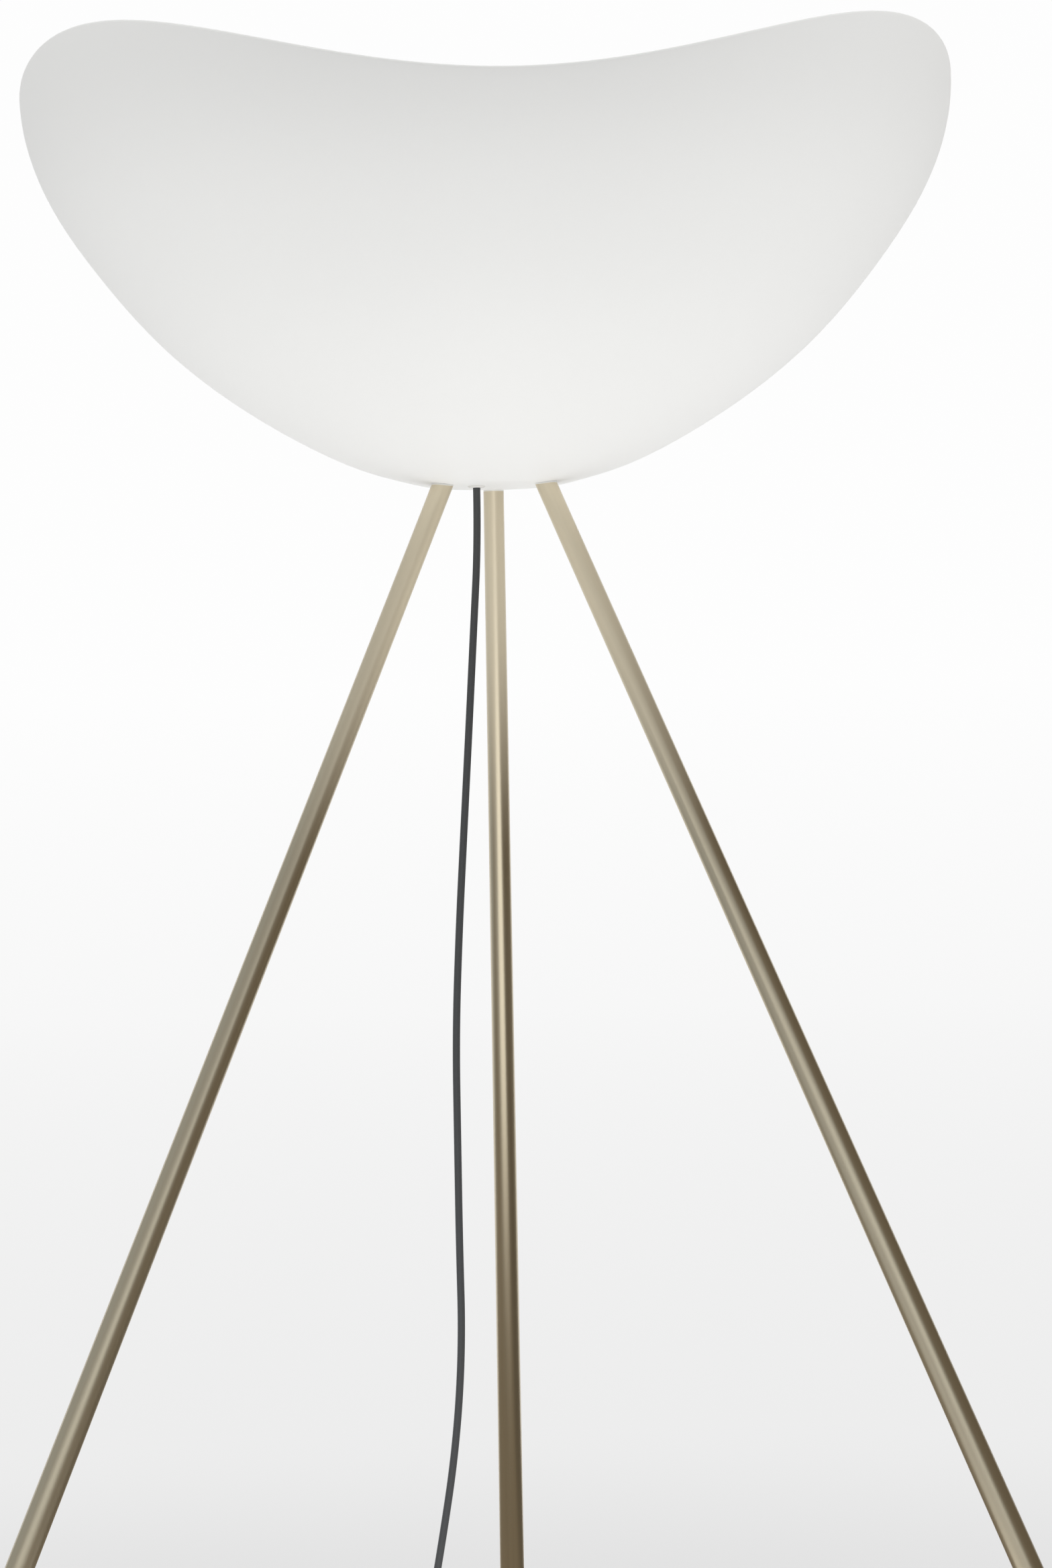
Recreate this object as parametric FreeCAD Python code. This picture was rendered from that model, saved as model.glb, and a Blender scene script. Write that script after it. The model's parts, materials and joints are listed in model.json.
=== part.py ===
"""Tripod floor lamp: a wavy-rimmed opal bowl clamped on three tapered brass legs.

Millimetres, +Z up.  The origin is on the lamp's vertical axis at floor level, and the
front of the lamp, between its two front legs, faces -Y.
"""
import FreeCAD, Part
import math
import os

V = FreeCAD.Vector
UP = V(0, 0, 1)
ORIGIN = V(0, 0, 0)

# ---------------------------------------------------------------- driving dimensions
BOWL_Z = 1135.0                 # underside of the bowl
BOWL_WALL = 4.0
BOWL_FLAT = 42.0                # radius of the bowl's flat bottom
BOWL_OUTLINE = [(63, 3.6), (98, 14), (141, 34), (190, 64), (240, 104), (292.5, 164), (330, 224),
                (345.5, 285)]   # radius and height above the underside
BOWL_END = (344, 330)           # the outline runs on to here before the rim is cut
RIM_MEAN = 285.0                # mean rim height above the underside
RIM_WAVE = 30.0                 # the rim rises and falls by this, three times round
BOWL_TURN = 2.0                 # the bowl is clamped turned this far round from the legs

LEG_AZIMUTHS = {"front_left": 210, "front_right": 330, "rear": 90}
LEG_SPLAY = math.radians(25.2)  # from the vertical
LEG_MEET_Z = BOWL_Z + 94.0      # the three leg axes meet at this height
LEG_TOP_D = 15.4                # at the bowl
LEG_FOOT_D = 22.0               # at the floor
LEG_WALL = 1.5
LEG_GASKET = 1.0
FOOT_PAD = 4.0                  # rubber below the end of the tube
FOOT_PLUG = 26.0                # height of the plug inside the tube
INSERT_DEPTH = 32.0             # height of the threaded plug in a leg's top
FIT_GAP = 0.05                  # radial gap of a plug, thread or shaft in its hole

HUB_R = 54.0                    # clamp plate inside the bowl
HUB_THICK = 6.0
HUB_GASKET = 1.0
HUB_BOSS_R = 10.0
HUB_BOSS_TOP = 24.0             # height of a boss's centre above the bowl's underside
BOLT_R = 4.0                    # M8 socket-head screws
BOLT_HOLE_R = 4.5
BOLT_HEAD_R = 6.5
BOLT_HEAD = 8.0
BOLT_GRIP = 20.0                # depth of the thread in a leg's insert
SOCKET_ACROSS = 6.0             # hexagon socket
SOCKET_DEPTH = 4.0
WASHER_R = 8.0
WASHER = 1.6

STEM_R = 5.0                    # M10 threaded tube
STEM_BORE = 3.6
CORD_D = 5.5
CORD_R = CORD_D / 2
CORD_BORE = CORD_R + 0.1
OUTLET = V(-13.0, -5.0, 0)      # where the cord passes through the bowl
OUTLET_R = 5.0                  # hole in the bowl for the grommet
GROMMET_LIP = 1.4
CORE_WIRE_R = 0.9

SWITCH_L = 78.0
SWITCH_W = 34.0
SWITCH_H = 22.0
SWITCH_PART_Z = 8.0             # height of the joint between base and cover
SWITCH_WALL = 2.0
SWITCH_CORNER_R = 9.0
BUTTON_R = 11.0
BUTTON_RISE = 3.6               # above the cover at rest
BUTTON_FLANGE = 1.6
SPRING_SEAT = 2.5               # depth of the recess under the button
SPRING_WIRE_R = 0.4
RELIEF_L = 24.0                 # tapered strain reliefs on the switch and the plug
SWITCH_CENTRE = V(-296, -100, 0)
SWITCH_HEADING = 180.0          # the cord runs through it towards -X

COIL_CENTRE = V(-228, 92, 0)
COIL_MEAN_R = 30.25             # eleven cord diameters across
COIL_LANES = 3
COIL_LAYERS = 2

PLUG_Z = 7.0                    # height of the plug's axis when it lies on its side
PLUG_L = 36.0
PLUG_W = 26.0
PLUG_H = 14.0
PIN_R = 2.0
PIN_L = 19.0
PIN_SLEEVE_R = 1.8              # insulating sleeve round the root of a pin
PIN_SLEEVE_L = 10.0
PIN_CORE_R = 1.3                # the pin inside its sleeve
PIN_ROOT = 7.0                  # length held inside the plug
PIN_PITCH = 18.6


# ---------------------------------------------------------------- helpers
def slab(low, high):
    """A block wide enough to cut anything on the lamp, between two heights."""
    return Part.makeBox(2400, 2400, high - low, V(-1200, -1200, low))


def rod(start, end, radius):
    return Part.makeCylinder(radius, (end - start).Length, start, end - start)


def ring(outer, inner, low, high, centre=ORIGIN):
    base = V(centre.x, centre.y, low)
    solid = Part.makeCylinder(outer, high - low, base)
    return solid.cut(Part.makeCylinder(inner, high - low, base))


def turned(outline, centre=ORIGIN):
    """A solid of revolution about a vertical line, from (radius, height) corners."""
    corners = [V(r, 0, z) for r, z in outline]
    face = Part.Face(Part.makePolygon(corners + corners[:1]))
    solid = face.revolve(ORIGIN, UP, 360)
    solid.translate(centre)
    return solid


def hexagon(across, low, high):
    """A hexagonal prism about the Z axis, measured across its flats."""
    corner = across / math.sqrt(3)
    corners = [V(corner * math.cos(math.radians(a)), corner * math.sin(math.radians(a)), low)
               for a in range(0, 361, 60)]
    return Part.Face(Part.makePolygon(corners)).extrude(V(0, 0, high - low))


def hex_nut(across, hole, low, high):
    return hexagon(across, low, high).cut(Part.makeCylinder(hole, high - low, V(0, 0, low)))


def rounded_block(length, width, low, high, radius):
    """A block about the Z axis with its upright edges rounded."""
    block = Part.makeBox(length, width, high - low, V(-length / 2, -width / 2, low))
    upright = [e for e in block.Edges if abs(e.tangentAt(e.FirstParameter).z) > 0.9]
    return block.makeFillet(radius, upright)


def placed(shape, point, heading):
    """A shape drawn at the origin along +X, turned to its heading and moved to its place."""
    moved = shape.copy()
    moved.rotate(ORIGIN, UP, heading)
    moved.translate(point)
    return moved


def group(solids):
    return Part.makeCompound(solids)


# ---------------------------------------------------------------- bowl
OUTLINE_START = V(1, 0, 0)      # level where it leaves the flat bottom
OUTLINE_FINISH = V(-0.03, 0, 1)


def bowl_curve(inset):
    """The bowl's outline from the edge of its flat bottom up, moved inwards by an inset."""
    points = [V(BOWL_FLAT, 0, 0)] + [V(r, 0, z) for r, z in BOWL_OUTLINE + [BOWL_END]]
    outer = Part.BSplineCurve()
    outer.interpolate(Points=points, InitialTangent=OUTLINE_START, FinalTangent=OUTLINE_FINISH)
    moved_points = []
    for point in points:
        along = outer.tangent(outer.parameter(point))[0].normalize()
        moved_points.append(point + V(-along.z, 0, along.x) * inset)
    moved = Part.BSplineCurve()
    moved.interpolate(Points=moved_points, InitialTangent=OUTLINE_START, FinalTangent=OUTLINE_FINISH)
    return moved


def bowl_volume(inset, height=0.0):
    """The solid inside the outline, as if the bowl were full, with its underside at a height."""
    curve = bowl_curve(inset)
    low, high = curve.StartPoint, curve.EndPoint
    floor = Part.LineSegment(V(0, 0, low.z), low).toShape()
    lid = Part.LineSegment(high, V(0, 0, high.z)).toShape()
    axis = Part.LineSegment(V(0, 0, high.z), V(0, 0, low.z)).toShape()
    face = Part.Face(Part.Wire([floor, curve.toShape(), lid, axis]))
    solid = face.revolve(ORIGIN, UP, 360)
    solid.translate(V(0, 0, height))
    return solid


def rim_height(azimuth):
    """Rim height above the underside; it peaks over each leg."""
    lobe = 3 * math.radians(azimuth - LEG_AZIMUTHS["rear"] - BOWL_TURN)
    return RIM_MEAN + RIM_WAVE * math.cos(lobe)


def rim_cutter():
    """Everything above the wavy rim: a ruled ring, level along each radius, drawn upwards."""
    loops = []
    for radius in (290.0, 370.0):
        points = []
        for azimuth in range(0, 360, 10):
            a = math.radians(azimuth)
            points.append(V(radius * math.cos(a), radius * math.sin(a), rim_height(azimuth)))
        loop = Part.BSplineCurve()
        loop.interpolate(Points=points, PeriodicFlag=True)
        loops.append(loop.toShape())
    return Part.makeRuledSurface(loops[0], loops[1]).extrude(V(0, 0, 90))


def shade():
    bowl = bowl_volume(0).cut(bowl_volume(BOWL_WALL)).cut(rim_cutter())
    bowl = bowl.cut(slab(RIM_MEAN + RIM_WAVE + 1, BOWL_END[1] + 1))
    bowl.translate(V(0, 0, BOWL_Z))
    for azimuth in LEG_AZIMUTHS.values():
        bowl = bowl.cut(bolt_hole(azimuth, -5, 12))
    return bowl.cut(Part.makeCylinder(OUTLET_R, 12, OUTLET + V(0, 0, BOWL_Z - 4)))


# ---------------------------------------------------------------- legs
def leg_point(azimuth, height):
    """The point of a leg's axis at a height."""
    a = math.radians(azimuth)
    out = (LEG_MEET_Z - height) * math.tan(LEG_SPLAY)
    return V(out * math.cos(a), out * math.sin(a), height)


def leg_radius(height):
    return (LEG_TOP_D + (BOWL_Z - height) * (LEG_FOOT_D - LEG_TOP_D) / BOWL_Z) / 2


def bolt_hole(azimuth, low, high):
    """The screw's clearance hole along a leg's axis, between heights from the bowl's underside."""
    return rod(leg_point(azimuth, BOWL_Z + low), leg_point(azimuth, BOWL_Z + high), BOLT_HOLE_R)


REAR = LEG_AZIMUTHS["rear"]     # the legs' pieces are drawn here, and copies turned to the front
COPE_TOP = BOWL_Z + 10          # above the coped end of a leg


def leg_cone(low, high, inset=0.0):
    """The rear leg's tapered body, cut level at two heights."""
    over = 20.0
    bottom, top = leg_point(REAR, low - over), leg_point(REAR, high + over)
    cone = Part.makeCone(leg_radius(bottom.z) - inset, leg_radius(top.z) - inset,
                         (top - bottom).Length, bottom, top - bottom)
    return cone.common(slab(low, high))


def leg_tube():
    """A tapered tube, coped at the top to fit the bowl's underside."""
    tube = leg_cone(FOOT_PAD, COPE_TOP).cut(leg_cone(FOOT_PAD, COPE_TOP, LEG_WALL))
    return tube.cut(bowl_volume(-LEG_GASKET, BOWL_Z))


def leg_insert():
    """Threaded steel plug brazed into the top of a leg."""
    low = BOWL_Z - INSERT_DEPTH
    plug = leg_cone(low, COPE_TOP, LEG_WALL + FIT_GAP).cut(bowl_volume(-LEG_GASKET, BOWL_Z))
    return plug.cut(rod(leg_point(REAR, low + 6), leg_point(REAR, COPE_TOP), BOLT_R + FIT_GAP))


def leg_gasket():
    """Thin rubber between a leg's top and the bowl."""
    pad = leg_cone(BOWL_Z - 2, COPE_TOP).common(bowl_volume(-LEG_GASKET, BOWL_Z))
    return pad.cut(bowl_volume(0, BOWL_Z)).cut(bolt_hole(REAR, -10, 10))


def foot():
    """Rubber glide: a pad as wide as the leg, and a plug up inside the tube."""
    pad = leg_cone(0, FOOT_PAD)
    plug = leg_cone(FOOT_PAD, FOOT_PAD + FOOT_PLUG, LEG_WALL + FIT_GAP)
    return pad.fuse(plug).removeSplitter()


def legs():
    """The four pieces of each leg."""
    rear_pieces = {"leg": leg_tube(), "leg_insert": leg_insert(), "leg_gasket": leg_gasket(), "foot": foot()}
    parts = {}
    for side, azimuth in LEG_AZIMUTHS.items():
        for name, piece in rear_pieces.items():
            parts[name + "_" + side] = placed(piece, ORIGIN, azimuth - REAR)
    return parts


# ---------------------------------------------------------------- clamp inside the bowl
HUB_LOW = BOWL_Z + BOWL_WALL + HUB_GASKET
HUB_TOP = HUB_LOW + HUB_THICK
HUB_NECK_R = 8.0
HUB_NECK = 7.0


def seat(azimuth):
    """The middle of a boss's face, and the direction out of it along the leg's axis."""
    face = leg_point(azimuth, BOWL_Z + HUB_BOSS_TOP)
    return face, (face - leg_point(azimuth, BOWL_Z)).normalize()


def hub():
    """Clamp casting that fits the bowl's bottom, with a slanted boss over each leg and a neck."""
    plate = Part.makeCylinder(HUB_R, HUB_THICK, V(0, 0, HUB_LOW))
    plate = plate.makeFillet(1.5, [plate.Edges[0]])
    body = plate.fuse(Part.makeCylinder(HUB_NECK_R, HUB_THICK + HUB_NECK, V(0, 0, HUB_LOW)))
    for azimuth in LEG_AZIMUTHS.values():
        boss = rod(leg_point(azimuth, BOWL_Z - 10), seat(azimuth)[0], HUB_BOSS_R)
        body = body.fuse(boss)
    body = body.common(bowl_volume(BOWL_WALL + HUB_GASKET + FIT_GAP, BOWL_Z))
    for azimuth in LEG_AZIMUTHS.values():
        body = body.cut(bolt_hole(azimuth, -10, 50))
    body = body.cut(Part.makeCylinder(STEM_R + FIT_GAP, 40, V(0, 0, HUB_LOW)))
    return body.cut(Part.makeCylinder(CORD_R + 0.75, 40, OUTLET + V(0, 0, HUB_LOW))).removeSplitter()


def hub_gasket():
    """Thin rubber between the clamp and the bowl."""
    disc = Part.makeCylinder(HUB_R + 3, 20, V(0, 0, BOWL_Z)).common(bowl_volume(BOWL_WALL, BOWL_Z))
    disc = disc.cut(bowl_volume(BOWL_WALL + HUB_GASKET, BOWL_Z))
    for azimuth in LEG_AZIMUTHS.values():
        disc = disc.cut(bolt_hole(azimuth, -5, 15))
    return disc.cut(Part.makeCylinder(OUTLET_R, 4, OUTLET + V(0, 0, BOWL_Z + 2)))


def leg_screws():
    """Three socket-head screws, each along its leg's axis into the insert."""
    screws = []
    for azimuth in LEG_AZIMUTHS.values():
        face, out = seat(azimuth)
        under_head = face + out * WASHER
        shank = rod(leg_point(azimuth, BOWL_Z - BOLT_GRIP), under_head, BOLT_R)
        head = rod(under_head, under_head + out * BOLT_HEAD, BOLT_HEAD_R)
        socket = hexagon(SOCKET_ACROSS, 0, SOCKET_DEPTH + 1)
        socket.Placement = FreeCAD.Placement(under_head + out * (BOLT_HEAD - SOCKET_DEPTH),
                                             FreeCAD.Rotation(UP, out))
        screws.append(shank.fuse(head).removeSplitter().cut(socket))
    return group(screws)


def leg_washers():
    washers = []
    for azimuth in LEG_AZIMUTHS.values():
        face, out = seat(azimuth)
        disc = rod(face, face + out * WASHER, WASHER_R)
        washers.append(disc.cut(rod(face, face + out * WASHER, BOLT_HOLE_R - 0.2)))
    return group(washers)


def cord_grommet():
    """Rubber bush that lines the cord's hole through the bowl and its gasket."""
    lip, neck, top = OUTLET_R + 1.5, OUTLET_R - 0.1, BOWL_WALL + HUB_GASKET
    outline = [(CORD_BORE, -GROMMET_LIP), (lip - 0.8, -GROMMET_LIP), (lip, 0.8 - GROMMET_LIP), (lip, 0),
               (neck, 0), (neck, top), (CORD_BORE, top)]
    return turned(outline, OUTLET + V(0, 0, BOWL_Z))


# ---------------------------------------------------------------- lampholder
STEM_TOP = BOWL_Z + 44.0
HOLDER_Z = BOWL_Z + 36.0        # underside of the lampholder
HOLDER_R = 20.0
HOLDER_WALL = 2.2
CORE_Z = HOLDER_Z + 24.0        # underside of the ceramic block
CORE_R = 17.6
CORE_H = 12.0
CORE_FLANGE = 2.0               # clamped between the lampholder's cap and skirt
SKIRT_H = 38.0
SHELL_R = 13.4                  # inside the screw shell
SHELL_WALL = 0.6
TERMINAL_X = 9.0                # a terminal each side of the axis
LEAD_TOP = HOLDER_Z + 12.0      # where the cord's sheath ends
NUT_ACROSS = 14.0
NUT_H = 4.0


def stem():
    return ring(STEM_R, STEM_BORE, HUB_LOW + 0.5, STEM_TOP)


def stem_nuts():
    """Lock nuts on the neck of the clamp and under the lampholder."""
    hole = STEM_R + FIT_GAP
    heights = (HUB_TOP + HUB_NECK, HOLDER_Z - NUT_H)
    return group([hex_nut(NUT_ACROSS, hole, low, low + NUT_H) for low in heights])


def holder_cap():
    """Lower cup of the lampholder, with a threaded neck and the cord's entry."""
    bore, neck_r, neck_top = STEM_R + FIT_GAP, 7.6, 8
    inner, top = HOLDER_R - HOLDER_WALL, CORE_Z - HOLDER_Z
    outline = [(bore, 0), (HOLDER_R - 3, 0), (HOLDER_R, 4), (HOLDER_R, top), (inner, top), (inner, 6),
               (HOLDER_R - 5, HOLDER_WALL), (neck_r, HOLDER_WALL), (neck_r, neck_top), (bore, neck_top)]
    cup = turned(outline, V(0, 0, HOLDER_Z))
    return cup.cut(Part.makeCylinder(CORD_BORE, 12, OUTLET + V(0, 0, HOLDER_Z - 4)))


def holder_core():
    """Ceramic block that carries the contacts."""
    block = Part.makeCylinder(CORE_R, CORE_H, V(0, 0, CORE_Z))
    flange = Part.makeCylinder(HOLDER_R, CORE_FLANGE, V(0, 0, CORE_Z))
    body = block.fuse(flange).removeSplitter()
    for x in (-TERMINAL_X, TERMINAL_X):
        body = body.cut(Part.makeCylinder(2.6, 8, V(x, 0, CORE_Z)))
    return body


def holder_skirt():
    """Upper sleeve of the lampholder, with grip grooves outside."""
    low = CORE_Z + CORE_FLANGE
    sleeve = ring(HOLDER_R, HOLDER_R - HOLDER_WALL, low, low + SKIRT_H)
    for n in range(5):
        z = low + 6 + 3.2 * n
        sleeve = sleeve.cut(ring(HOLDER_R + 1, HOLDER_R - 0.6, z, z + 1.2))
    return sleeve


def screw_shell():
    """Threaded brass sleeve that takes the bulb's cap."""
    return ring(SHELL_R + SHELL_WALL, SHELL_R, CORE_Z + CORE_H, CORE_Z + CORE_H + 22)


def centre_contact():
    """Springy strip that meets the tip of the bulb."""
    base = Part.makeBox(10, 5, 0.6, V(-5, -2.5, CORE_Z + CORE_H))
    riser = Part.makeBox(0.6, 5, 3.4, V(-5, -2.5, CORE_Z + CORE_H))
    tongue = Part.makeBox(9, 5, 0.6, V(-5, -2.5, CORE_Z + CORE_H + 3))
    return base.fuse(riser).fuse(tongue).removeSplitter()


def terminal_screws():
    screws = []
    for x in (-TERMINAL_X, TERMINAL_X):
        head = Part.makeCylinder(2.4, 1.8, V(x, 0, CORE_Z - 1.8))
        shank = Part.makeCylinder(1.6, 7.5, V(x, 0, CORE_Z))
        slot = Part.makeBox(6, 0.7, 0.8, V(x - 3, -0.35, CORE_Z - 1.8))
        screws.append(head.fuse(shank).removeSplitter().cut(slot))
    return group(screws)


def inner_lead():
    """The cord's own end, up through the clamp and into the lampholder."""
    return rod(OUTLET + V(0, 0, BOWL_Z), OUTLET + V(0, 0, LEAD_TOP), CORD_R)


def lead_cores():
    """The two insulated cores between the cord's end and the terminals."""
    cores = []
    for side in (-1, 1):
        start = OUTLET + V(1.2 * side, 0, LEAD_TOP)
        terminal = V(TERMINAL_X * side, -4.6, CORE_Z - 3.6)
        route = [start, start + V(0, 0, 4), terminal, terminal + V(0, 0.7, 2.4)]
        cores.append(cord_tube(route, CORE_WIRE_R))
    return group(cores)


# ---------------------------------------------------------------- bulb
BULB_Z = CORE_Z + 15.8          # tip of the bulb's contact
BULB_NECK_Z = BULB_Z + 26.0
BULB_NECK_H = 30.0
BULB_BOARD_Z = BULB_NECK_Z + BULB_NECK_H - 3.0
GLOBE_R = 47.5
GLOBE_Z = BULB_NECK_Z + 72.0    # centre of the globe
GLOBE_NECK_R = 22.0


def bulb_tip():
    return turned([(0, 0), (3, 0), (4.6, 1.2), (4.6, 2.2), (0, 2.2)], V(0, 0, BULB_Z))


def bulb_cap():
    """Screw cap with rounded threads, hollow above its insulator."""
    outline = [(5, 2.2), (9.5, 3.4), (12.2, 6)]
    for n in range(4):
        z = 7 + 3.6 * n
        outline += [(13.2, z + 0.9), (13.2, z + 1.7), (12.2, z + 2.6)]
    outline += [(13.0, 22), (13.0, 26), (12.0, 26), (11.4, 8), (8.6, 5), (5, 4)]
    return turned(outline, V(0, 0, BULB_Z))


def bulb_neck():
    """Moulded housing for the bulb's driver."""
    rim, floor = GLOBE_NECK_R - 1.6, BULB_NECK_H - 3
    outline = [(0, 0), (13.2, 0), (14, 4), (17, 14), (GLOBE_NECK_R, BULB_NECK_H), (rim, BULB_NECK_H),
               (rim, floor), (0, floor)]
    return turned(outline, V(0, 0, BULB_NECK_Z))


def bulb_board():
    """Aluminium disc with its ring of light-emitting chips."""
    low = BULB_BOARD_Z
    board = Part.makeCylinder(18, 1.6, V(0, 0, low))
    for n in range(12):
        a = math.radians(30 * n)
        chip = Part.makeBox(3, 3, 0.8, V(13 * math.cos(a) - 1.5, 13 * math.sin(a) - 1.5, low + 1.6))
        board = board.fuse(chip)
    return board.removeSplitter()


def bulb_globe():
    """Opal sphere, open at the bottom where it sits on the housing."""
    centre = V(0, 0, GLOBE_Z)
    shell = Part.makeSphere(GLOBE_R, centre).cut(Part.makeSphere(GLOBE_R - 1.2, centre))
    return shell.common(slab(BULB_NECK_Z + BULB_NECK_H, GLOBE_Z + GLOBE_R + 1))


# ---------------------------------------------------------------- cord
def rounded_path(points):
    """Straight runs joined by tangent arcs, each as large as its two runs allow."""
    edges = []
    start = points[0]
    for before, corner, after in zip(points, points[1:], points[2:]):
        back, on = before - corner, after - corner
        setback = 0.45 * min(back.Length, on.Length)
        half_turn = (math.pi - back.getAngle(on)) / 2
        radius = setback / math.tan(half_turn)
        back.normalize()
        on.normalize()
        to_arc = radius / math.cos(half_turn) - radius
        middle = corner + (back + on).normalize() * to_arc
        first, last = corner + back * setback, corner + on * setback
        edges.append(Part.LineSegment(start, first).toShape())
        edges.append(Part.Arc(first, middle, last).toShape())
        start = last
    edges.append(Part.LineSegment(start, points[-1]).toShape())
    return Part.Wire(edges)


def cord_tube(points, radius=CORD_R):
    """A solid tube along a route of corners."""
    section = Part.Wire(Part.makeCircle(radius, points[0], points[1] - points[0]))
    return rounded_path(points).makePipeShell([section], True, False)


SWITCH_IN = SWITCH_CENTRE + V(SWITCH_L / 2 - 3, 0, SWITCH_PART_Z)
SWITCH_OUT = SWITCH_CENTRE + V(3 - SWITCH_L / 2, 0, SWITCH_PART_Z)
FLOOR = CORD_R + 0.05           # height of a cord's centre line when it lies on the floor
COIL_OUTER_R = COIL_MEAN_R + (COIL_LANES - 1) / 2 * CORD_D
COIL_TOP = COIL_LAYERS * CORD_D

HANGING_ROUTE = [
    OUTLET + V(0, 0, BOWL_Z),
    OUTLET + V(0, 0, 1094), V(-17.4, -7, 1030), V(-22.6, -10, 954), V(-28, -13.6, 878),
    V(-33.3, -18, 802), V(-37.2, -22.5, 726), V(-37.5, -28, 650), V(-37.8, -34, 574),
    V(-37.2, -41, 500), V(-43.4, -49, 426), V(-56, -57, 353), V(-70, -65, 283),
    V(-85, -73, 215), V(-101, -80, 153), V(-119, -87.5, 98), V(-141, -94, 54),
    V(-171, -98.5, 21), V(-214, -100, SWITCH_PART_Z), SWITCH_IN,
]
FLOOR_ROUTE = [
    SWITCH_OUT,
    V(-376, -100, SWITCH_PART_Z), V(-418, -88, 3.4), V(-450, -58, FLOOR), V(-460, -16, FLOOR),
    V(-446, 26, FLOOR), V(-410, 52, FLOOR), V(-364, 60, FLOOR), V(-314, 57.6, FLOOR),
    V(-268, 55.5, FLOOR), COIL_CENTRE + V(-2, 0.1 - COIL_OUTER_R, FLOOR),
]
PLUG_BACK = COIL_CENTRE + V(COIL_OUTER_R + 0.6, 94, PLUG_Z)
TAIL_ROUTE = [COIL_CENTRE + V(COIL_OUTER_R, 6, COIL_TOP - CORD_R), PLUG_BACK + V(0, -44, 0), PLUG_BACK]


def coil():
    """The outer shape of the put-away turns."""
    half_width = COIL_LANES * CORD_R
    return ring(COIL_MEAN_R + half_width, COIL_MEAN_R - half_width, 0, COIL_TOP, COIL_CENTRE)


# ---------------------------------------------------------------- foot switch
def relief_outline(length):
    """Half outline of a ribbed, tapered strain relief, from its collar to its tip."""
    collar, tip, ribs = 4.6, CORD_R + 0.9, 5
    outline = [(CORD_BORE, 0), (collar, 0), (collar, 3)]
    for n in range(ribs):
        z = 3 + (length - 3) * (n + 0.35) / ribs
        r = collar + (tip - collar) * (n + 0.5) / ribs
        outline += [(r - 0.5, z), (r - 0.5, z + 1.4), (r, z + 1.4), (r - 0.1, z + 3.4)]
    return outline + [(tip - 0.5, length), (CORD_BORE, length)]


def strain_relief(length, point, heading):
    """A relief whose tip points along the heading."""
    sleeve = turned(relief_outline(length))
    sleeve.rotate(ORIGIN, V(0, 1, 0), 90)
    return placed(sleeve, point, heading)


def on_switch(shape):
    return placed(shape, SWITCH_CENTRE, SWITCH_HEADING)


def entry_holes():
    """The cord's way in at both ends of the housing."""
    return rod(V(-SWITCH_L, 0, SWITCH_PART_Z), V(SWITCH_L, 0, SWITCH_PART_Z), CORD_R + 0.35)


def housing_block(low, high, inset=0.0):
    """The housing's plan between two heights, moved inwards by an inset."""
    return rounded_block(SWITCH_L - 2 * inset, SWITCH_W - 2 * inset, low, high, SWITCH_CORNER_R - inset)


SWITCH_SCREWS = [V(29, 10, 0), V(-29, -10, 0)]
SCREW_R = 1.5
BUTTON_STOP_Z = SWITCH_H - SWITCH_WALL - 0.3    # top of the button's flange at rest
MECHANISM_H = 1.6


def switch_base():
    tray = housing_block(0, SWITCH_PART_Z)
    tray = tray.makeFillet(1.2, [e for e in tray.Edges if e.BoundBox.ZMax < 0.01])
    tray = tray.cut(housing_block(SWITCH_WALL, SWITCH_PART_Z, SWITCH_WALL))
    for place in SWITCH_SCREWS:
        tray = tray.fuse(Part.makeCylinder(3.4, SWITCH_PART_Z, place))
        tray = tray.cut(Part.makeCylinder(1.6, SWITCH_PART_Z, place)).cut(Part.makeCylinder(2.9, 2.2, place))
    return on_switch(tray.cut(entry_holes()).removeSplitter())


def switch_cover():
    shell = housing_block(SWITCH_PART_Z, SWITCH_H)
    shell = shell.makeFillet(3.5, [e for e in shell.Edges if e.BoundBox.ZMin > SWITCH_H - 0.01])
    shell = shell.cut(housing_block(SWITCH_PART_Z, SWITCH_H - SWITCH_WALL, SWITCH_WALL))
    for place in SWITCH_SCREWS:
        foot_of_boss = place + V(0, 0, SWITCH_PART_Z)
        shell = shell.fuse(Part.makeCylinder(3.0, SWITCH_H - SWITCH_PART_Z - 1, foot_of_boss))
        shell = shell.cut(Part.makeCylinder(SCREW_R + FIT_GAP, 8, foot_of_boss))
    collar = Part.makeCylinder(BUTTON_R + 2, 1.0, V(0, 0, SWITCH_H - 0.4))
    collar = collar.makeFillet(0.5, [collar.Edges[0]])
    shell = shell.fuse(collar).cut(Part.makeCylinder(BUTTON_R + 0.3, 30, V(0, 0, 0)))
    return on_switch(shell.cut(entry_holes()).removeSplitter())


def switch_button():
    """Domed foot button with a flange that stops it under the cover."""
    flange_top = BUTTON_STOP_Z
    body = Part.makeCylinder(BUTTON_R, SWITCH_H + BUTTON_RISE - flange_top, V(0, 0, flange_top))
    body = body.makeFillet(1.8, [body.Edges[0]])
    flange_low = flange_top - BUTTON_FLANGE
    flange = Part.makeCylinder(BUTTON_R + 1.6, BUTTON_FLANGE, V(0, 0, flange_low))
    recess = Part.makeCylinder(5.4, SPRING_SEAT, V(0, 0, flange_low))
    return on_switch(body.fuse(flange).cut(recess).removeSplitter())


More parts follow.
